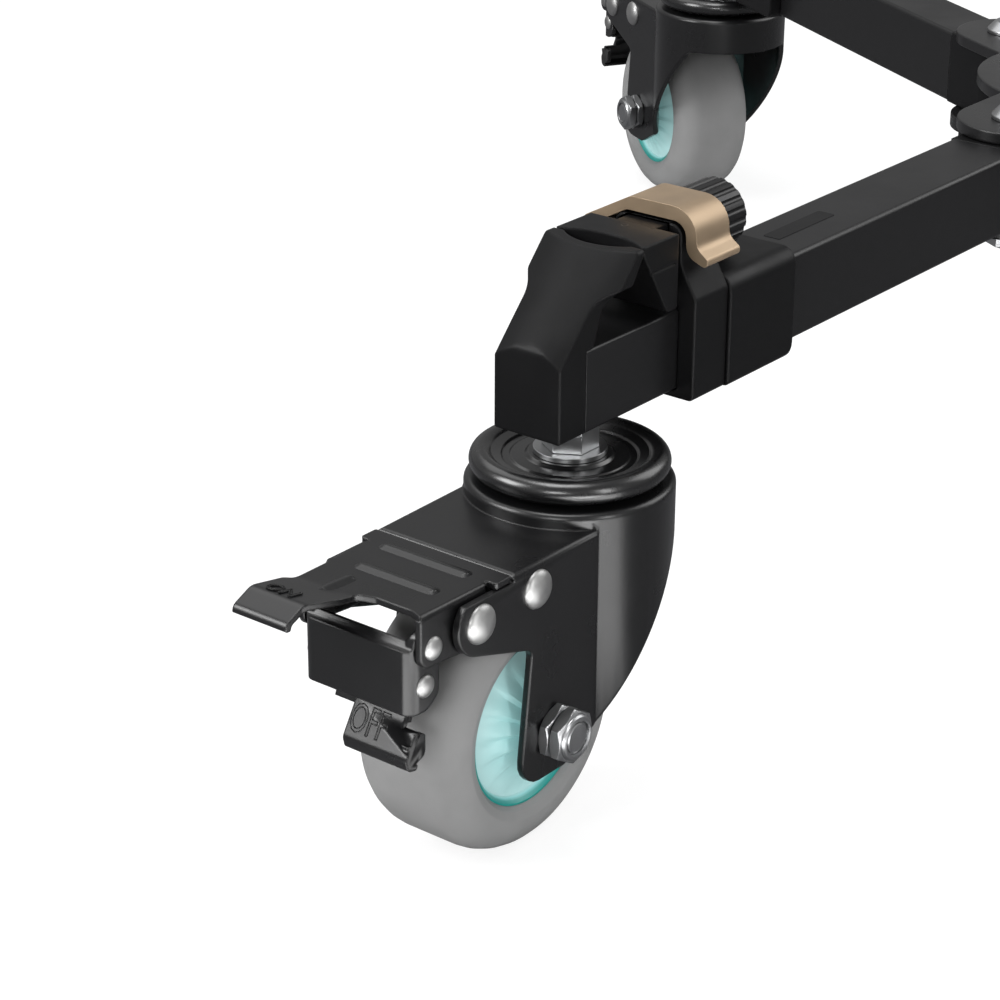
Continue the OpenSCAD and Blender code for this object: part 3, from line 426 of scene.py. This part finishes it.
def turned(profile, steps=48):
    """A turned shape about Z from (radius, height) points, from the top's middle to the bottom's."""
    work = bmesh.new()
    rings = []
    for r, z in profile:
        if r == 0:
            rings.append([work.verts.new((0, 0, z))])
        else:
            rings.append([work.verts.new((r * math.cos(t), r * math.sin(t), z))
                          for t in (math.tau * k / steps for k in range(steps))])
    for upper, lower in zip(rings, rings[1:]):
        for k in range(steps):
            corners = [upper[k % len(upper)], lower[k % len(lower)],
                       lower[(k + 1) % len(lower)], upper[(k + 1) % len(upper)]]
            work.faces.new(list(dict.fromkeys(corners)))
    return work


for arm in ARMS:
    jaw_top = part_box(f"foot_jaw_{arm}")[1][2] / MM
    pin = turned(PIN_SHAPE, steps=24)
    bmesh.ops.translate(pin, vec=(*PIN_AT, jaw_top), verts=pin.verts)
    stand(f"jaw_pin_{arm}", pin, KNOB, f"jaw_{arm}", arm)


# Label strip
# A bare black film with round corners, glued on top of the arm. It is blacker and smoother than
# the tube round it.
LABEL_FROM, LABEL_TO, LABEL_CORNER = (97, -1.6), (127, 4.2), 0.8
LABEL_THICK, LABEL_SINK = 0.12, 0.02


def plate_outline(low, high, r, steps=6):
    """A rectangle's outline with round corners, anticlockwise."""
    corners = [(high[0] - r, high[1] - r, 0), (low[0] + r, high[1] - r, 90),
               (low[0] + r, low[1] + r, 180), (high[0] - r, low[1] + r, 270)]
    outline = []
    for x, y, first in corners:
        for k in range(steps + 1):
            turn = math.radians(first + 90 * k / steps)
            outline.append((x + r * math.cos(turn), y + r * math.sin(turn)))
    return outline


def slab(outline, low, high):
    """A flat shape of that outline between two heights."""
    work = bmesh.new()
    under = [work.verts.new((x, y, low)) for x, y in outline]
    over = [work.verts.new((x, y, high)) for x, y in outline]
    work.faces.new(over)
    work.faces.new(under[::-1])
    for k in range(len(outline)):
        m = (k + 1) % len(outline)
        work.faces.new((under[k], under[m], over[m], over[k]))
    return work


# Polyester label film: thin, even and almost without grain, so it shows as a darker patch.
FILM = finish("polyester_label_film_black", 0x070708, rough=0.5, grain=0.3, depth=0.002, cloud=10,
              specular=0.3)[0]
for arm in ARMS:
    tube_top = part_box(f"outer_tube_{arm}")[1][2] / MM
    outline = plate_outline(LABEL_FROM, LABEL_TO, LABEL_CORNER)
    film = slab(outline, tube_top - LABEL_SINK, tube_top + LABEL_THICK)
    stand(f"label_strip_{arm}", film, FILM, BODY_OF[f"outer_tube_{arm}"], arm)


# Swivel
# The zinc plated spigot with its hexagon and washer, which goes up into the cap, and the black
# race with its rolled rim, which turns with the fork.

# The same coat as on the hub's plates, thicker on the turned race and with more gloss.
RACE = finish("electrocoated_race_black", 0x0C0C0D, rough=0.26, grain=1.6, depth=0.008, cloud=20,
              specular=0.8)[0]
on_arms("caster_stem", "caster_spigot", ZINC, "zinc_steel", radius=0.3)
on_arms("swivel_ring", "caster_race", RACE, "fork_black", radius=0.5)


# Fork
# One pressing of 2 mm sheet: the sides are bent down from the top plate and blend into the
# round skirt behind the wheel. Both bends keep the sheet's own wide radius.
FORK_TOP = JOINTS["swivel_1"]["pos_m"][2] / MM
FORK_HALF = 23.0
CROWN_R = 28.8
TOP_BEND_R, SKIRT_BLEND_R = 1.6, 0.8
side_joint_x = -math.sqrt(CROWN_R ** 2 - FORK_HALF ** 2)


def on_plane(p, q, axis, value, slack=0.1):
    """True if both ends of an edge lie at that distance, on either side, from the arm's middle."""
    return all(abs(abs(v[axis]) - value) < slack for v in (p, q))


def top_bend(p, q):
    """True for an edge between the top plate and a side."""
    return on_plane(p, q, 2, FORK_TOP) and on_plane(p, q, 1, FORK_HALF)


def skirt_blend(p, q):
    """True for the upright edge where a flat side meets the round skirt."""
    upright = abs(p.x - q.x) < 0.1 and abs(p.z - q.z) > 4
    return upright and on_plane(p, q, 0, -side_joint_x, 0.5) and on_plane(p, q, 1, FORK_HALF, 0.2)


def skirt_curve(p, flat):
    """The skirt is a true cylinder, so the light runs down it without a break."""
    out = Vector((p.x, p.y, 0)).normalized()
    on_skirt = abs(math.hypot(p.x, p.y) - CROWN_R) < 0.06 and p.x > side_joint_x + 0.1
    return out if on_skirt and flat.dot(out) > 0.95 else None


on_arms("fork", "caster_fork", COATED, "fork_black", radius=0.3, curve=skirt_curve,
        bends=[(skirt_blend, SKIRT_BLEND_R), (top_bend, TOP_BEND_R)])


# Rivets
# Nickel plated heads, formed cold: two big ones on each side of the fork and two small ones on
# each side of the pedal. One node tree puts a squashed ball on every point.
BIG_RIVETS = [(-43.6, FORK_HALF, 82.1), (-66.7, FORK_HALF, 81.0)]
PEDAL_HALF, BRACKET_HALF = 20.3, 18.1
PEDAL_RIVET = [(-82.0, PEDAL_HALF, 79.4)]
RELEASE_RIVET = [(-82.6, BRACKET_HALF, 68.4)]
BIG_HEAD, BIG_HEAD_HIGH = 5.4, 2.38
SMALL_HEAD, SMALL_HEAD_HIGH = 3.2, 1.42


def head_tree():
    """Puts a squashed ball of a given radius and height on every vertex."""
    tree = bpy.data.node_groups.new("rivet_heads", "GeometryNodeTree")
    tree.interface.new_socket("Geometry", in_out="INPUT", socket_type="NodeSocketGeometry")
    for name in ("Radius", "Height"):
        tree.interface.new_socket(name, in_out="INPUT", socket_type="NodeSocketFloat")
    tree.interface.new_socket("Finish", in_out="INPUT", socket_type="NodeSocketMaterial")
    tree.interface.new_socket("Geometry", in_out="OUTPUT", socket_type="NodeSocketGeometry")
    given = add(tree, "NodeGroupInput")
    ball = add(tree, "GeometryNodeMeshUVSphere", None, {"Segments": 32, "Rings": 16, "Radius": 1.0})
    scale = add(tree, "ShaderNodeCombineXYZ", None, {
        0: given.outputs["Radius"], 1: given.outputs["Height"], 2: given.outputs["Radius"]})
    head = add(tree, "GeometryNodeTransform", None, {
        "Geometry": ball.outputs["Mesh"], "Scale": scale.outputs[0]})
    placed = add(tree, "GeometryNodeInstanceOnPoints", None, {
        "Points": given.outputs["Geometry"], "Instance": head.outputs[0]})
    real = add(tree, "GeometryNodeRealizeInstances", None, {0: placed.outputs[0]})
    coated = add(tree, "GeometryNodeSetMaterial", None, {
        0: real.outputs[0], "Material": given.outputs["Finish"]})
    add(tree, "NodeGroupOutput", None, {0: coated.outputs[0]})
    return tree


# Nickel plating: brighter and softer than the zinc, dulled by the tool that formed the head.
NICKEL = finish("nickel_plated_rivet_steel", 0xAAAAA9, rough=0.46, grain=0.4, depth=0.005, cloud=3,
                metallic=1.0)[0]
HEADS = head_tree()


def heads(name, places, radius, height, body, arm):
    """Rivet heads at these places and their mirror places, as one piece on one body."""
    points = bpy.data.meshes.new(name)
    points.from_pydata([(x, side * y, z) for x, y, z in places for side in (1, -1)], [], [])
    holder = bpy.data.objects.new(name, points)
    bpy.context.scene.collection.objects.link(holder)
    modifier = holder.modifiers.new("heads", "NODES")
    modifier.node_group = HEADS
    given = {item.name: item.identifier for item in HEADS.interface.items_tree if item.in_out == "INPUT"}
    modifier[given["Radius"]] = radius
    modifier[given["Height"]] = height
    modifier[given["Finish"]] = NICKEL
    holder.data.update()
    mesh = bpy.data.meshes.new_from_object(holder.evaluated_get(bpy.context.evaluated_depsgraph_get()))
    bpy.data.objects.remove(holder)
    return stand(name, mesh, NICKEL, body, arm, sharp=60)


for arm in ARMS:
    big = heads(f"fork_heads_{arm}", BIG_RIVETS, BIG_HEAD, BIG_HEAD_HIGH, f"caster_{arm}", arm)
    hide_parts(f"fork_rivets_{arm}")
    heads(f"pedal_heads_{arm}", PEDAL_RIVET, SMALL_HEAD, SMALL_HEAD_HIGH, f"pedal_{arm}", arm)
    heads(f"release_heads_{arm}", RELEASE_RIVET, SMALL_HEAD, SMALL_HEAD_HIGH, f"pedal_{arm}", arm)


# Tyre
# Cast polyurethane with round shoulders, bonded on the wheel centre.

# Grey polyurethane: matt, with a fine moulded grain.
TREAD = finish("grey_polyurethane", 0x828282, rough=0.55, grain=0.6, depth=0.012, cloud=14, specular=0.35)[0]
on_arms("tyre", "wheel_tyre", TREAD, "tyre_grey", radius=0.3)


# Wheel centre
# Injection moulded polypropylene: both sides are blunt cones folded like a fan, whose folds die
# out towards the rim. The thin rim has painted shade: a deeper teal for how it looks seen edge on.
AXLE = TO_ARM[1] @ Vector(JOINTS["wheel_turn_1"]["pos_m"]) / MM
RIM_R, RIM_HALF = 24.0, 15.2
BOSS_R, BOSS_HALF, BORE_R = 7.6, 20.7, 5.35
WEB_R = [9.0, 11.0, 13.5, 16.5, 19.5, 21.9]
WEB_HIGH, WEB_LOW, WEB_BEND = 19.0, 13.0, 1.4
FOLDS, FOLD_DEPTH, FOLD_FADE = 16, 1.4, 0.8
FOLD_SHAPE = [(0.0, 0.0), (0.25, 0.34), (0.5, 0.68), (0.75, 1.0), (0.88, 0.5)]
# The rim's colour is painted shade, a deeper teal that stands for the rim seen edge on.
TEAL_FOLD, TEAL_WEB, TEAL_RIM_SHADE = 0xA6C8C8, 0x86C2C2, 0x0B7F78
TEAL_GLOW = 0.2


def wheel_profile():
    """Half of the wheel centre's section from the bore to the rim: radius, height, fold and tint."""
    section = [(BORE_R, BOSS_HALF, 0, 0.2), (BOSS_R, BOSS_HALF, 0, 0.2),
               (BOSS_R + 0.5, BOSS_HALF - 0.5, 0, 0.2), (WEB_R[0] - 0.4, WEB_HIGH + 0.7, 0, 0.15)]
    for r in WEB_R:
        along = (r - WEB_R[0]) / (WEB_R[-1] - WEB_R[0])
        height = WEB_HIGH + (WEB_LOW - WEB_HIGH) * (1 - (1 - along) ** WEB_BEND)
        section.append((r, height, FOLD_DEPTH * (1 - along) ** FOLD_FADE, 0.1 + 0.2 * (1 - along)))
    # The tint rises to 1 at the rim, where the ramp paints the rim's shade.
    section += [(RIM_R - 1.8, RIM_HALF - 1.5, 0, 0.3), (RIM_R - 1.2, RIM_HALF - 0.7, 0, 0.9),
                (RIM_R - 0.5, RIM_HALF, 0, 1.0), (RIM_R, RIM_HALF, 0, 1.0)]
    return section


def fan_wheel():
    """The wheel centre about its own axle, which is Z, with its "rim" attribute from 0 to 1."""
    turns = [(math.tau * (k + part) / FOLDS, rise) for k in range(FOLDS) for part, rise in FOLD_SHAPE]
    half = wheel_profile()
    loop = [(*point, 1) for point in half] + [(*point, -1) for point in reversed(half)]
    work = bmesh.new()
    rim = work.verts.layers.float.new("rim")
    rings = []
    for r, z, fold, tint, side in loop:
        ring = []
        for turn, rise in turns:
            v = work.verts.new((r * math.cos(turn), r * math.sin(turn), side * (z + fold * (rise - 0.5))))
            v[rim] = tint
            ring.append(v)
        rings.append(ring)
    count = len(turns)
    for k, ring in enumerate(rings):
        after = rings[(k + 1) % len(rings)]
        for m in range(count):
            work.faces.new((ring[m], after[m], after[(m + 1) % count], ring[(m + 1) % count]))
    return work


# Teal polypropylene: waxy and pale on the folds, with painted shade in a deeper teal at the rim. The
# faint glow is painted light, for the light that scatters inside the plastic.
TEAL, tree, shader = finish("teal_polypropylene", rough=0.34, grain=0.5, depth=0.004, cloud=10)
where = add(tree, "ShaderNodeAttribute", {"attribute_name": "rim"})
ramp = add(tree, "ShaderNodeValToRGB", None, {"Fac": where.outputs["Fac"]})
inner, outer = ramp.color_ramp.elements
inner.position = 0.1
inner.color = srgb(TEAL_FOLD)
# The ramp ends in the rim's painted shade.
outer.position = 1.0
outer.color = srgb(TEAL_RIM_SHADE)
ramp.color_ramp.elements.new(0.35).color = srgb(TEAL_WEB)
tree.links.new(ramp.outputs[0], shader.inputs["Base Color"])
tree.links.new(ramp.outputs[0], shader.inputs["Emission Color"])
shader.inputs["Emission Strength"].default_value = TEAL_GLOW
ACROSS = Matrix.Translation(AXLE) @ Matrix.Rotation(math.pi / 2, 4, "X")
for arm in ARMS:
    fan = fan_wheel()
    fan.transform(ACROSS)
    centre = stand(f"wheel_centre_{arm}", fan, TEAL, f"wheel_{arm}", arm, sharp=24)
    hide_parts(f"wheel_hub_{arm}")


# Axle
# Zinc plated bolt with a pressed hexagon head on the left, and on the right a thin nut and a
# lock nut with its round collar. Hexagons are chamfered, so each corner ends in an arc.
NUT_AF = 14.0
THIN_NUT = (23.0, 26.2)
LOCK_NUT = (26.6, 30.2)
BOLT_HEAD = (-28.5, -23.0)
BOLT_R = 5.0
COLLAR = [(0, 0.7), (3.7, 0.7), (4.2, 0.45), (4.35, 0.1), (4.6, 0.1), (4.75, 0.75), (5.3, 0.9),
          (5.9, 0.75), (6.35, 0.3), (6.5, -0.3), (BOLT_R, -0.4)]
HEX_STEPS = 72
CHAMFER_SLOPE = math.tan(math.radians(60))
CHAMFER_STEPS = 5
FACE_SHARE = 0.97


def hexagon(work, af, low, high, inner):
    """Adds a hexagonal nut about Z with both faces chamfered at 30 degrees."""
    face_r = af / 2 * FACE_SHARE
    drop = (af / math.sqrt(3) - face_r) / CHAMFER_SLOPE
    inset = [drop * k / CHAMFER_STEPS for k in range(CHAMFER_STEPS + 1)]
    levels = [low + d for d in inset] + [high - d for d in reversed(inset)]
    turns = [math.tau * k / HEX_STEPS for k in range(HEX_STEPS)]
    rings = [[work.verts.new((inner * math.cos(t), inner * math.sin(t), low)) for t in turns]]
    for z in levels:
        cone = face_r + CHAMFER_SLOPE * min(z - low, high - z)
        ring = []
        for turn in turns:
            flat = af / 2 / math.cos((turn + math.pi / 6) % (math.pi / 3) - math.pi / 6)
            r = min(flat, cone)
            ring.append(work.verts.new((r * math.cos(turn), r * math.sin(turn), z)))
        rings.append(ring)
    rings.append([work.verts.new((v.co.x, v.co.y, high)) for v in rings[0]])
    for k, ring in enumerate(rings):
        after = rings[(k + 1) % len(rings)]
        for m in range(HEX_STEPS):
            work.faces.new((ring[m], after[m], after[(m + 1) % HEX_STEPS], ring[(m + 1) % HEX_STEPS]))


for arm in ARMS:
    collar = [(r, LOCK_NUT[1] + rise) for r, rise in COLLAR]
    bolt = turned(collar + [(BOLT_R, BOLT_HEAD[1] - 1), (0, BOLT_HEAD[1] - 1)])
    for span in (THIN_NUT, LOCK_NUT):
        hexagon(bolt, NUT_AF, *span, inner=BOLT_R - 0.1)
    hexagon(bolt, NUT_AF, *BOLT_HEAD, inner=0.01)
    bolt.transform(ACROSS)
    wheel_bolt = stand(f"wheel_bolt_{arm}", bolt, ZINC, f"caster_{arm}", arm, sharp=24)
    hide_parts(f"axle_bolt_{arm}")


# Brake plates
# Black coated pressings: the ON pedal over the fork, the U bracket riveted to it, and the OFF
# pedal that hangs from the bracket. The pedal's ears are bent down with the sheet's own radius.
BRACKET_X, BRACKET_LOW = -88.0, 61.3
EAR_BEND_R = 1.4
STRIP_FROM_X, STRIP_FROM_Y, STRIP_LIFT = -84.5, 2.9, 0.3


def ear_bend(p, q):
    """True for an edge between the pedal's plate and an ear."""
    return on_plane(p, q, 2, FORK_TOP) and on_plane(p, q, 1, PEDAL_HALF)


def under_bracket(p):
    """Keeps the OFF pedal's cross strip behind the bracket's front."""
    if p.z < BRACKET_LOW + 0.1 and p.y > STRIP_FROM_Y and p.x > STRIP_FROM_X:
        p.z = BRACKET_LOW + STRIP_LIFT
    return p


on_arms("brake_pedal", "brake_plate", COATED, "fork_black", radius=0.25, bends=[(ear_bend, EAR_BEND_R)])
on_arms("release_bracket", "brake_bracket", COATED, "fork_black", radius=0.25)
on_arms("off_pedal", "brake_release", COATED, "fork_black", radius=0.25, mend=under_bracket)


# Pedal beads
# Three beads pressed up in the pedal's coated sheet to stiffen it. Their flanks run out softly
# on all sides.
BEAD_W, BEAD_H = 5.2, 0.78
BEAD_FOOT, BEAD_ROOT = 0.04, 0.3
PLATE_REACH = 53.2
BEADS = [((-PLATE_REACH - 7.3, 12.9), (-PLATE_REACH - 7.3, -12.5)),
         ((-PLATE_REACH - 20.0, 10.1), (-PLATE_REACH - 20.0, -12.5)),
         ((BRACKET_X - 1.8, 8.8), (BRACKET_X + 6.6, 8.1))]


def bead(work, a, b, steps=10, turns=12):
    """Adds a smooth swelling of the sheet along the line from a to b."""
    a, b = Vector(a), Vector(b)
    along = (b - a).normalized()
    start = math.atan2(along.y, along.x) + math.pi / 2
    ends = ((a, start), (b, start + math.pi))
    rings = []
    for k in range(1, steps + 1):
        d = BEAD_W / 2 * k / steps
        z = FORK_TOP - BEAD_FOOT + BEAD_H * (0.5 + 0.5 * math.cos(math.pi * k / steps))
        ring = []
        for end, first in ends:
            for m in range(turns + 1):
                turn = first + math.pi * m / turns
                ring.append(work.verts.new((end.x + d * math.cos(turn), end.y + d * math.sin(turn), z)))
        rings.append(ring)
    rings.append([work.verts.new((v.co.x, v.co.y, FORK_TOP - BEAD_ROOT)) for v in rings[-1]])
    count = len(rings[0])
    work.faces.new(rings[0])
    work.faces.new(rings[-1][::-1])
    for inner, outer in zip(rings, rings[1:]):
        for m in range(count):
            work.faces.new((inner[m], outer[m], outer[(m + 1) % count], inner[(m + 1) % count]))


for arm in ARMS:
    beads = bmesh.new()
    for a, b in BEADS:
        bead(beads, a, b)
    stand(f"pedal_beads_{arm}", beads, COATED, f"pedal_{arm}", arm, sharp=60)


# Pedal words
# ON and OFF, pressed up in the coated sheet as the outlines of plain letters. Each line is a thin
# round bead.
LETTER_LINE, LETTER_SIDES, LETTER_OVERLAP = 0.2, 6, 0.05
TO_THE_RIGHT = Vector((0, -1, 0))
ON_SIZE, OFF_SIZE = (4.8, 9.0), (7.6, 11.6)
TOE_FRONT = BRACKET_X - 22.4
TOE_RISE = Vector((1, 0, -0.188)).normalized()
on_middle = Vector((TOE_FRONT + 10.4, 13.0, FORK_TOP + 2.55))
OFF_TOP = Vector((-84.1, 0, 60.2))
OFF_LOW = Vector((BRACKET_X - 2.2, 0, BRACKET_LOW - 11.2))
off_rise = (OFF_TOP - OFF_LOW).normalized()
off_middle = OFF_LOW + off_rise * 6.0 + Vector((0, -3.4, 0))


def letter_outlines(name, word):
    """A word's outlines as edges in its own plane, and the box that they fill."""
    font = bpy.data.curves.new(name, "FONT")
    font.body = word
    font.align_x = "CENTER"
    font.align_y = "CENTER"
    font.size = 1.0
    font.fill_mode = "NONE"
    font.resolution_u = 3
    holder = bpy.data.objects.new(name, font)
    bpy.context.scene.collection.objects.link(holder)
    flat = bpy.data.meshes.new_from_object(holder.evaluated_get(bpy.context.evaluated_depsgraph_get()))
    bpy.data.objects.remove(holder)
    xs, ys = [v.co.x for v in flat.vertices], [v.co.y for v in flat.vertices]
    return flat, (min(xs), min(ys)), (max(xs), max(ys))


def raised_word(name, word, size, middle, rise, body, arm):
    """A word as thin raised lines, size high and wide. middle and rise are in the arm's frame."""
    flat, low, high = letter_outlines(name, word)
    height, width = size
    out = TO_THE_RIGHT.cross(rise)
    work = bmesh.new()
    for edge in flat.edges:
        spots = []
        for k in edge.vertices:
            c = flat.vertices[k].co
            u = ((c.x - low[0]) / (high[0] - low[0]) - 0.5) * width
            w = ((c.y - low[1]) / (high[1] - low[1]) - 0.5) * height
            spots.append(middle + TO_THE_RIGHT * u + rise * w)
        line = (spots[1] - spots[0]).normalized()
        side = line.cross(out)
        rings = [[work.verts.new(spot + LETTER_LINE * (side * math.cos(t) + out * math.sin(t)))
                  for t in (math.tau * k / LETTER_SIDES for k in range(LETTER_SIDES))]
                 for spot in (spots[0] - line * LETTER_OVERLAP, spots[1] + line * LETTER_OVERLAP)]
        work.faces.new(rings[0])
        work.faces.new(rings[1][::-1])
        for k in range(LETTER_SIDES):
            m = (k + 1) % LETTER_SIDES
            work.faces.new((rings[0][k], rings[1][k], rings[1][m], rings[0][m]))
    bpy.data.meshes.remove(flat)
    stand(name, work, COATED, body, arm, sharp=50)


for arm in ARMS:
    raised_word(f"word_on_{arm}", "ON", ON_SIZE, on_middle, TOE_RISE, f"pedal_{arm}", arm)
    raised_word(f"word_off_{arm}", "OFF", OFF_SIZE, off_middle, off_rise, f"off_{arm}", arm)
